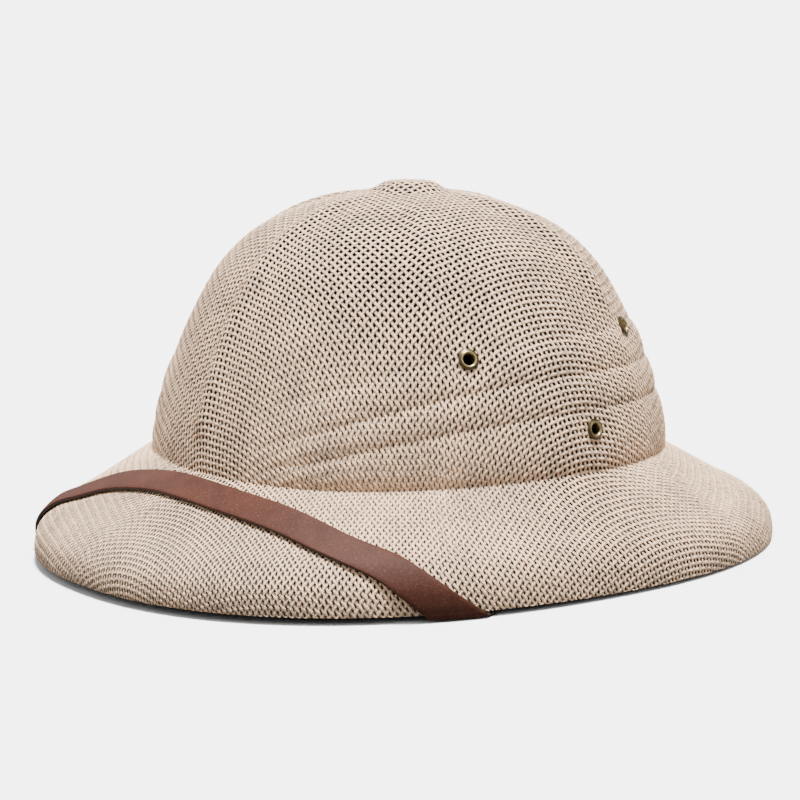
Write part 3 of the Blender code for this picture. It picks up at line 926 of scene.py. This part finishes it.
def turned_mesh(name, profile, point, axis, material, sides=TURNED_SIDES, dark_rows=(), dark=None):
    """A closed profile of (radius, height) turned round an axis that stands on a point."""
    quaternion = axis.to_track_quat("Z", "Y")
    points, rings = [], []
    for radius, height in profile:
        if radius == 0:
            rings.append([len(points)] * sides)
            points.append(point + quaternion @ Vector((0, 0, height)))
            continue
        rings.append(list(range(len(points), len(points) + sides)))
        for k in range(sides):
            a = 2 * math.pi * k / sides
            around = Vector((radius * math.cos(a), radius * math.sin(a), height))
            points.append(point + quaternion @ around)
    pairs = list(zip(rings, rings[1:]))
    if profile[0][0] != 0:
        pairs.append((rings[-1], rings[0]))
    faces = []
    for ring, other in pairs:
        for k in range(sides):
            j = (k + 1) % sides
            faces.append(tuple(dict.fromkeys((ring[k], ring[j], other[j], other[k]))))
    made = new_mesh(name, points, faces, material)
    if dark:
        made.data.materials.append(dark)
        for number, face in enumerate(made.data.polygons):
            face.material_index = int(number // sides in dark_rows)
    made.data.set_sharp_from_angle(angle=math.radians(METAL_SHARP))
    return made


# An eyelet's section, outer face first: (radius, height above its seat)
EYELET_FORM = (
    (0.00250, -0.00240),
    (0.00250, 0.00030),
    (0.00265, 0.00070),
    (0.00295, 0.00098),
    (0.00325, 0.00105),
    (0.00355, 0.00095),
    (0.00380, 0.00070),
    (0.00405, 0.00058),
    (0.00435, 0.00050),
    (0.00455, 0.00036),
    (0.00460, 0.00018),
    (0.00455, 0.00005),
    (0.00300, 0.00005),
    (0.00300, -0.00310),
    (0.00415, -0.00312),
    (0.00420, -0.00330),
    (0.00405, -0.00352),
    (0.00340, -0.00380),
    (0.00280, -0.00375),
    (0.00255, -0.00345),
)
EYELET_DARK_ROWS = range(5, 12)  # the faces of the flat outer ring

EYELET_BARREL = 0.0060
HOLE_SIDES = 24
DRILL_REACH = (-0.012, 0.006)  # the lining's drills, from inside the hat to outside


def new_holes():
    """Points on the eyelets' axes at the straw's middle. The yarns keep clear of them."""
    points = [point - axis * WEAVE_DEPTH for point, axis in EYELET_SEATS.values()]
    return new_mesh("eyelet_points", points, [])


def new_lining(material):
    """The cloth inside the straw, with a hole at each eyelet. Its edge shows under the straw."""
    turns = [360 * k / LINING_COLUMNS for k in range(LINING_COLUMNS)]
    points, faces = [], []
    for depth in (LINING_DEPTH, STACK):
        start = len(points)
        top = crown_point(0.0, 90.0)
        points.append(Vector((top.x, top.y, top.z - depth)))
        for level in reversed(LINING_LEVELS):
            for turn in turns:
                point = wall_point(turn, level, depth)
                if level == LINING_LEVELS[0]:
                    point.z = rim_height(point.y)
                points.append(point)
        ring = start + 1
        faces += [tuple(ring + k for k in face) for face in ring_faces(len(LINING_LEVELS), LINING_COLUMNS)]
        faces += [(start, ring + (c + 1) % LINING_COLUMNS, ring + c) for c in range(LINING_COLUMNS)]
    half = len(points) // 2
    low = half - LINING_COLUMNS
    for c in range(LINING_COLUMNS):
        d = (c + 1) % LINING_COLUMNS
        faces.append((low + c, low + d, half + low + d, half + low + c))
    made = new_mesh("cloth_lining", points, faces, material)
    drills = []
    for name, (point, axis) in EYELET_SEATS.items():
        radius = EYELET_BARREL / 2 + GAP
        deep, out = DRILL_REACH
        profile = ((0, deep), (radius, deep), (radius, out), (0, out))
        drill = turned_mesh(f"{name}_drill", profile, point, axis, None, HOLE_SIDES)
        modifier = made.modifiers.new(drill.name, "BOOLEAN")
        modifier.operation = "DIFFERENCE"
        modifier.solver = "EXACT"
        modifier.object = drill
        drills.append(drill)
    finished = plain_result(made, "cloth_lining")
    for drill in drills:
        bpy.data.objects.remove(drill)
    finished.data.shade_smooth()
    finished.data.set_sharp_from_angle(angle=math.radians(LINING_SHARP))
    return finished


def new_stud(name, point, face, material):
    """A plain stud through the strap's end, seated in the straw."""
    radius = STUD_SHANK / 2
    low = STRAP_THICK + GAP
    top = low + STUD_HEAD_THICK
    reach = -(STRAP_TAIL_CLEAR + LINING_WALL + GAP + STUD_BITE)
    profile = (
        (0, reach),
        (radius, reach),
        (radius, low),
        (STUD_HEAD / 2 - 0.0002, low),
        (STUD_HEAD / 2, low + 0.0002),
        (STUD_HEAD / 2, low + 0.0005),
        (STUD_HEAD / 2 - 0.0003, low + 0.0009),
        (STUD_HEAD_TOP / 2, top - 0.0001),
        (STUD_HEAD_TOP / 4, top),
        (0, top),
    )
    return turned_mesh(name, profile, point, face, material)


# Materials


def grain_group():
    """Fine and coarse variation over a surface, for any material. Puts out a mask and a height."""
    name = "Grain and wear"
    if name in bpy.data.node_groups:
        return bpy.data.node_groups[name]
    tree, t, given, result = new_tree(
        name,
        "ShaderNodeTree",
        {"Vector": "Vector", "Fine size": 0.001, "Coarse size": 0.03, "Coarse share": 0.4},
        {"Mask": "Float", "Height": "Float"},
    )
    give = given.outputs
    fine = t.noise(give["Vector"], 3.0, t.math("DIVIDE", 1.0, give["Fine size"]))["Fac"]
    coarse = t.noise(give["Vector"], 2.0, t.math("DIVIDE", 1.0, give["Coarse size"]))["Fac"]
    share = give["Coarse share"]
    mask = t.plus(t.times(fine, t.minus(1.0, share)), t.times(coarse, share))
    t.link(mask, result.inputs["Mask"])
    t.link(fine, result.inputs["Height"])
    return tree


def straw_group():
    """Twisted paper yarn: a colour that changes from yarn to yarn and along each, with painted shade where a
    yarn dives under, at the gaps and down its flanks, and a height.
    """
    tree, t, given, result = new_tree(
        "Straw yarn",
        "ShaderNodeTree",
        {
            "Light colour": (0.6, 0.5, 0.4, 1),
            "Dark colour": (0.4, 0.3, 0.2, 1),
            "Painted shade colour": (0.1, 0.07, 0.05, 1),
            "Tint": (0.6, 0.45, 0.4, 1),
            "Grain": 0.5,
            "Painted gap shade": 1.0,
            "Painted flank shade": 0.35,
            "Wider painted gap shade": 0.0,
            "Fibres for each crossing": 2.4,
        },
        {"Colour": "Color", "Height": "Float"},
    )
    give = given.outputs
    # drawn: how much wider the painted gap shade is, on the front brim
    drawn = give["Wider painted gap shade"]
    yarn, place, over, top, side = (
        t.node("ShaderNodeAttribute", attribute_name=label).outputs["Fac"]
        for label in ("yarn", "place", "over", "top", "side")
    )
    by_yarn = t.noise(t.vector(t.times(yarn, 7.31), t.times(place, 0.11)), 1.0)["Fac"]
    run = t.times(place, give["Fibres for each crossing"])
    slant = t.plus(t.times(side, 3.0), t.times(place, 2.0))
    fibres = t.noise(t.vector(t.times(yarn, 3.17), run, slant), 3.0)["Fac"]
    shade = t.plus(t.times(give["Grain"], 0.4), t.times(fibres, 0.6))
    colour = t.blend(t.ranged(shade, 0.43, 0.57), give["Dark colour"], give["Light colour"])
    colour = t.blend(t.ranged(by_yarn, 0.45, 0.7, 0.6), colour, give["Tint"])
    # painted shade: darker where a yarn dives under another yarn and down its lower side, where shade falls
    painted_shade = t.ranged(t.plus(t.times(over, 0.45), t.times(top, 0.55)), 0.35, -0.45)
    # painted shade on the sides of a yarn at the gaps between the crossings, where the gaps fall in shade
    beside = t.math("ABSOLUTE", t.math("SINE", t.times(place, math.pi)))
    open_side = t.ranged(beside, t.minus(0.66, t.times(drawn, 0.28)), 0.85)
    from_top = t.plus(0.76, t.times(drawn, 0.21))
    steep = t.ranged(top, from_top, t.minus(from_top, 0.30))
    painted_gap_shade = t.times(t.times(open_side, steep), give["Painted gap shade"])
    # painted shade down both flanks of a yarn, which leaves its ridge looking lit
    painted_flank_shade = t.times(t.ranged(top, 0.95, 0.40), give["Painted flank shade"])
    # all the painted shade together darkens the yarn towards the colour of the painted shade
    painted_shade = t.math("MAXIMUM", t.math("MAXIMUM", painted_shade, painted_flank_shade), painted_gap_shade)
    t.link(t.blend(painted_shade, colour, give["Painted shade colour"]), result.inputs["Colour"])
    t.link(fibres, result.inputs["Height"])
    return tree


# Colours of the straw beside the setting: shares of its red, green and blue, or one for all
STRAW_LIGHT = 1.27
STRAW_DARK = (0.33, 0.36, 0.42)
# share of the straw's colour for its painted shade where yarns dive under, at the gaps and down their flanks
STRAW_PAINTED_SHADE = 0.04
STRAW_TINT = (1.0, 0.93, 0.9)
SPECKS_FOR_EACH_METRE = (700.0, 2400.0, 1.0)  # along the strap, across it, and unused


def new_surface(name, roughness, metallic=0.0):
    """A material with a Principled shader, and the short ways to add to it."""
    material = bpy.data.materials.new(name)
    material.use_nodes = True
    shader = material.node_tree.nodes["Principled BSDF"]
    shader.inputs["Roughness"].default_value = roughness
    shader.inputs["Metallic"].default_value = metallic
    return material, Tree(material.node_tree), shader


def grain_over(t, fine, coarse=0.03):
    """The outputs of the grain group over the whole piece, for its fine and coarse sizes."""
    where = t.node("ShaderNodeTexCoord").outputs["Object"]
    inputs = {"Vector": where, "Fine size": fine, "Coarse size": coarse}
    return t.node("ShaderNodeGroup", inputs, node_tree=grain_group()).outputs


def tinted(colour, *shares):
    """The colour with its red, green and blue times their shares, or all times one share."""
    return (*(share * part for share, part in zip(shares * 3, colour)), 1)


def paint(t, shader, grain, low, high, dark, light):
    """Colours a surface between two colours, by its grain from low to high."""
    shades = t.blend(t.ranged(grain["Mask"], low, high), dark, light)
    t.link(shades, shader.inputs["Base Color"])
    return shades


def bump(t, height, distance, strength, shader):
    made = t.first("ShaderNodeBump", {"Strength": strength, "Distance": distance, "Height": height})
    t.link(made, shader.inputs["Normal"])


def straw_material(settings):
    material, t, shader = new_surface("straw_yarn", 0.75)
    grain = grain_over(t, 0.0006, 0.02)
    forward = t.parts(t.node("ShaderNodeTexCoord").outputs["Object"])["Y"]
    colour = settings.straw_colour
    inputs = {
        "Light colour": tinted(colour, STRAW_LIGHT),
        "Dark colour": tinted(colour, *STRAW_DARK),
        # the colour of the painted shade
        "Painted shade colour": tinted(colour, STRAW_PAINTED_SHADE),
        "Tint": tinted(colour, *STRAW_TINT),
        # the painted gap shade is drawn wider on the front brim
        "Wider painted gap shade": t.ranged(forward, *BRIM_WIDER_GAP_SHADE),
        "Grain": grain["Mask"],
    }
    yarn = t.node("ShaderNodeGroup", inputs, node_tree=straw_group()).outputs
    t.link(yarn["Colour"], shader.inputs["Base Color"])
    bump(t, t.plus(yarn["Height"], t.times(grain["Height"], 0.4)), 0.0005, 0.9, shader)
    return material


def cloth_material(settings):
    material, t, shader = new_surface("dark_cloth", 0.9)
    grain = grain_over(t, 0.0008)
    colour = settings.lining_colour
    paint(t, shader, grain, 0.3, 0.7, tinted(colour, 0.7), tinted(colour, 1.0))
    bump(t, grain["Height"], 0.0001, 0.4, shader)
    return material


def leather_material(settings):
    material, t, shader = new_surface("brown_leather", 0.66)
    shader.inputs["Specular IOR Level"].default_value = 0.11
    grain = grain_over(t, 0.0009, 0.012)
    colour = settings.leather_colour
    shades = paint(t, shader, grain, 0.35, 0.65, tinted(colour, 0.7), tinted(colour, 1.25))
    # light rubbed specks, drawn out along the strap
    drawn = t.vectors("MULTIPLY", t.first("ShaderNodeUVMap", uv_map="strap"), SPECKS_FOR_EACH_METRE)
    rubbed = t.ranged(t.noise(drawn, 1.0)["Fac"], 0.64, 0.76, 0.5)
    worn = (*(4.5 * c + 0.02 for c in colour), 1)
    t.link(t.blend(rubbed, shades, worn), shader.inputs["Base Color"])
    bump(t, grain["Height"], 0.00012, 0.3, shader)
    return material


def edge_material():
    material, t, shader = new_surface("black_leather_edge", 0.6)
    paint(t, shader, grain_over(t, 0.0015), 0.3, 0.7, (0.003, 0.003, 0.003, 1), (0.008, 0.007, 0.006, 1))
    return material


def brass_material(settings, name="antique_brass", share=1.0):
    material, t, shader = new_surface(name, 0.34, 0.9)
    grain = grain_over(t, 0.0012, 0.004)
    light = tinted(settings.brass_colour, share)
    paint(t, shader, grain, 0.35, 0.65, tinted(light, 0.5), light)
    bump(t, grain["Height"], 0.00005, 0.3, shader)
    return material


# The stage
FLOOR_RADIUS = 40.0
FLOOR_SIDES = 64
FLOOR_BOUNCE = 0.12  # the floor throws this much of its light back onto the hat
FLOOR_DROP = 0.0002  # the floor lies this far below the hat
STUDIO_LIGHT = 0.45  # strength of the even light from all round
BACKDROP_GLOW = 5.8  # the backdrop behind the floor shows as bright as the floor

# Soft lights from far away: (name, where from, strength, apparent size in degrees)
LIGHTS = (
    ("key_light", (0.14, 0.05, 1.90), 17.0, 14.0),
    ("fill_light", (0.10, -1.00, 0.80), 0.9, 50.0),
    ("side_light", (1.00, 0.30, 0.90), 1.0, 50.0),
    ("back_light", (-0.80, 0.30, 0.60), 1.2, 40.0),
)

CAMERA_AIM = (0.0, -0.003, 0.0866)  # the camera stands round this point, and turns a little off it
CAMERA_TILT = -0.965
CAMERA_PAN = 0.12
SENSOR_WIDTH = 36.0  # millimetres


# Settings


def length(name, about, value):
    return bpy.props.FloatProperty(name=name, description=about, default=value, unit="LENGTH", precision=5)


def angle(name, about, degrees):
    value = math.radians(degrees)
    return bpy.props.FloatProperty(name=name, description=about, default=value, subtype="ANGLE")


def colour(name, about, value):
    return bpy.props.FloatVectorProperty(name=name, description=about, default=value, size=3, subtype="COLOR")


class StrawSettings(bpy.types.PropertyGroup):
    """How the straw and the lining look"""

    yarn_width: length("Yarn width", "Width of one paper yarn", YARN_WIDTH)
    yarn_height: length("Yarn thickness", "Thickness of one paper yarn", YARN_HEIGHT)
    yarn_wave: length("Wave", "How far a yarn rises and sinks at the crossings", YARN_WAVE)
    yarn_wander: length("Wander", "How far a yarn strays from its line", YARN_WANDER)
    yarn_unevenness: bpy.props.FloatProperty(
        name="Unevenness",
        description="How much a yarn's width varies",
        default=YARN_UNEVENNESS,
        subtype="FACTOR",
    )
    straw_colour: colour("Straw", "Colour of the straw", (0.80, 0.53, 0.325))
    lining_colour: colour("Lining", "Colour of the lining", (0.012, 0.015, 0.015))


class StrapSettings(bpy.types.PropertyGroup):
    """How the strap and the metal look"""

    leather_colour: colour("Leather", "Colour of the strap's face", (0.039, 0.0120, 0.0067))
    brass_colour: colour("Brass", "Colour of the eyelets and studs", (0.36, 0.27, 0.13))


class StageSettings(bpy.types.PropertyGroup):
    """The floor and the camera"""

    floor_colour: colour("Floor", "Colour of the floor", (0.9, 0.9, 0.9))
    camera_turn: angle("Camera turn", "Camera's turn round the hat", 54)
    camera_height: angle("Camera height", "Camera's angle above the hat", 8.5)
    camera_distance: length("Camera distance", "Distance to the hat", 1.2)
    camera_lens: bpy.props.FloatProperty(
        name="Lens",
        description="Focal length in millimetres",
        default=117.8,
    )


# Operators


class HAT_OT_straw(bpy.types.Operator):
    """Weave the straw shell out of paper yarns"""

    bl_idname = "hat.straw"
    bl_label = "Straw shell"

    def execute(self, context):
        settings = context.scene.hat_straw
        material = straw_material(settings)
        guide, half = new_guide()
        holes = new_holes()
        for made in new_weave(guide, half, holes, material, settings):
            finish_piece(made, "straw_shell")
        bpy.data.objects.remove(guide)
        bpy.data.objects.remove(holes)
        return {"FINISHED"}


class HAT_OT_lining(bpy.types.Operator):
    """Make the dark cloth lining inside the straw"""

    bl_idname = "hat.lining"
    bl_label = "Lining"

    def execute(self, context):
        finish_piece(new_lining(cloth_material(context.scene.hat_straw)), "lining")
        return {"FINISHED"}


class HAT_OT_strap(bpy.types.Operator):
    """Make the leather chin strap and its two studs"""

    bl_idname = "hat.strap"
    bl_label = "Chin strap and studs"

    def execute(self, context):
        settings = context.scene.hat_strap
        sections, studs = strap_sections()
        strap = new_strap(sections, leather_material(settings))
        strap.data.materials.append(edge_material())
        uv = strap.data.uv_layers["strap"].data
        painted = EDGE_PAINT * STRAP_ROUNDING
        for face in strap.data.polygons:
            across = [uv[k].uv.y for k in face.loop_indices]
            if max(across) < -painted or min(across) > STRAP_WIDTH + painted:
                face.material_index = 1
        finish_piece(strap, "chin_strap")
        brass = brass_material(settings)
        for side, (point, face) in zip(("right", "left"), studs):
            finish_piece(new_stud(f"stud_{side}", point, face, brass), f"strap_stud_{side}")
        return {"FINISHED"}


class HAT_OT_eyelets(bpy.types.Operator):
    """Make the six brass eyelets"""

    bl_idname = "hat.eyelets"
    bl_label = "Eyelets"

    def execute(self, context):
        brass = bpy.data.materials.get("antique_brass") or brass_material(context.scene.hat_strap)
        dark = brass_material(context.scene.hat_strap, "dark_brass", 0.3)
        for name, (point, axis) in EYELET_SEATS.items():
            look = (brass, TURNED_SIDES, EYELET_DARK_ROWS, dark)
            made = turned_mesh(f"brass_{name}", EYELET_FORM, point, axis, *look)
            finish_piece(made, name)
        return {"FINISHED"}


class HAT_OT_stage(bpy.types.Operator):
    """Set the floor, the soft studio light and the camera"""

    bl_idname = "hat.stage"
    bl_label = "Stage"

    def execute(self, context):
        settings = context.scene.hat_stage
        material, t, shader = new_surface("pale_floor", 0.9)
        seen = t.node("ShaderNodeLightPath").outputs["Is Camera Ray"]
        bounced, shown = (tinted(settings.floor_colour, share) for share in (FLOOR_BOUNCE, 1.0))
        t.link(t.blend(t.ranged(seen, 0.0, 1.0), bounced, shown), shader.inputs["Base Color"])
        turns = [2 * math.pi * k / FLOOR_SIDES for k in range(FLOOR_SIDES)]
        points = [(FLOOR_RADIUS * math.cos(a), FLOOR_RADIUS * math.sin(a), -FLOOR_DROP) for a in turns]
        floor = new_mesh("floor", points, [tuple(range(FLOOR_SIDES))], material)
        world = bpy.data.worlds.new("studio")
        world.use_nodes = True
        background = world.node_tree.nodes["Background"]
        background.inputs["Color"].default_value = (1, 1, 1, 1)
        t = Tree(world.node_tree)
        seen = t.node("ShaderNodeLightPath").outputs["Is Camera Ray"]
        glow = t.plus(STUDIO_LIGHT, t.times(seen, BACKDROP_GLOW - STUDIO_LIGHT))
        t.link(glow, background.inputs["Strength"])
        context.scene.world = world
        for name, way, strength, size in LIGHTS:
            light = bpy.data.lights.new(name, "SUN")
            light.angle = math.radians(size)
            light.energy = strength
            lamp = bpy.data.objects.new(name, light)
            lamp.location = Vector(way).normalized() * 2
            lamp.rotation_euler = Vector(way).to_track_quat("Z", "Y").to_euler()
            context.scene.collection.objects.link(lamp)
        camera = bpy.data.cameras.new("camera")
        camera.lens = settings.camera_lens
        camera.sensor_width = SENSOR_WIDTH
        watcher = bpy.data.objects.new("camera", camera)
        a, e, far = settings.camera_turn, settings.camera_height, settings.camera_distance
        aim = Vector(CAMERA_AIM)
        way = Vector((math.sin(a) * math.cos(e), -math.cos(a) * math.cos(e), math.sin(e)))
        watcher.location = aim + way * far
        turned = Euler((math.pi / 2 - e + math.radians(CAMERA_TILT), 0, a + math.radians(CAMERA_PAN)))
        watcher.rotation_euler = turned
        context.scene.collection.objects.link(watcher)
        context.scene.camera = watcher
        return {"FINISHED"}


class HAT_PT_panel(bpy.types.Panel):
    """Settings and a button for each part of the hat, in the sidebar"""

    bl_label = "Pith helmet"
    bl_idname = "HAT_PT_panel"
    bl_space_type = "VIEW_3D"
    bl_region_type = "UI"
    bl_category = "Hat"

    def draw(self, context):
        scene = context.scene
        for settings, buttons in (
            (scene.hat_straw, (HAT_OT_straw, HAT_OT_lining)),
            (scene.hat_strap, (HAT_OT_strap, HAT_OT_eyelets)),
            (scene.hat_stage, (HAT_OT_stage,)),
        ):
            box = self.layout.box()
            for name in settings.__annotations__:
                box.prop(settings, name)
            for button in buttons:
                box.operator(button.bl_idname)


CLASSES = (
    StrawSettings,
    StrapSettings,
    StageSettings,
    HAT_OT_straw,
    HAT_OT_lining,
    HAT_OT_strap,
    HAT_OT_eyelets,
    HAT_OT_stage,
    HAT_PT_panel,
)


def register():
    for kind in CLASSES:
        bpy.utils.register_class(kind)
    bpy.types.Scene.hat_straw = bpy.props.PointerProperty(type=StrawSettings)
    bpy.types.Scene.hat_strap = bpy.props.PointerProperty(type=StrapSettings)
    bpy.types.Scene.hat_stage = bpy.props.PointerProperty(type=StageSettings)


def unregister():
    del bpy.types.Scene.hat_stage
    del bpy.types.Scene.hat_strap
    del bpy.types.Scene.hat_straw
    for kind in reversed(CLASSES):
        bpy.utils.unregister_class(kind)


def main():
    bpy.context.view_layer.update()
    register()
    bpy.ops.hat.straw()
    bpy.ops.hat.lining()
    bpy.ops.hat.strap()
    bpy.ops.hat.eyelets()
    bpy.ops.hat.stage()


if __name__ == "__main__":
    main()
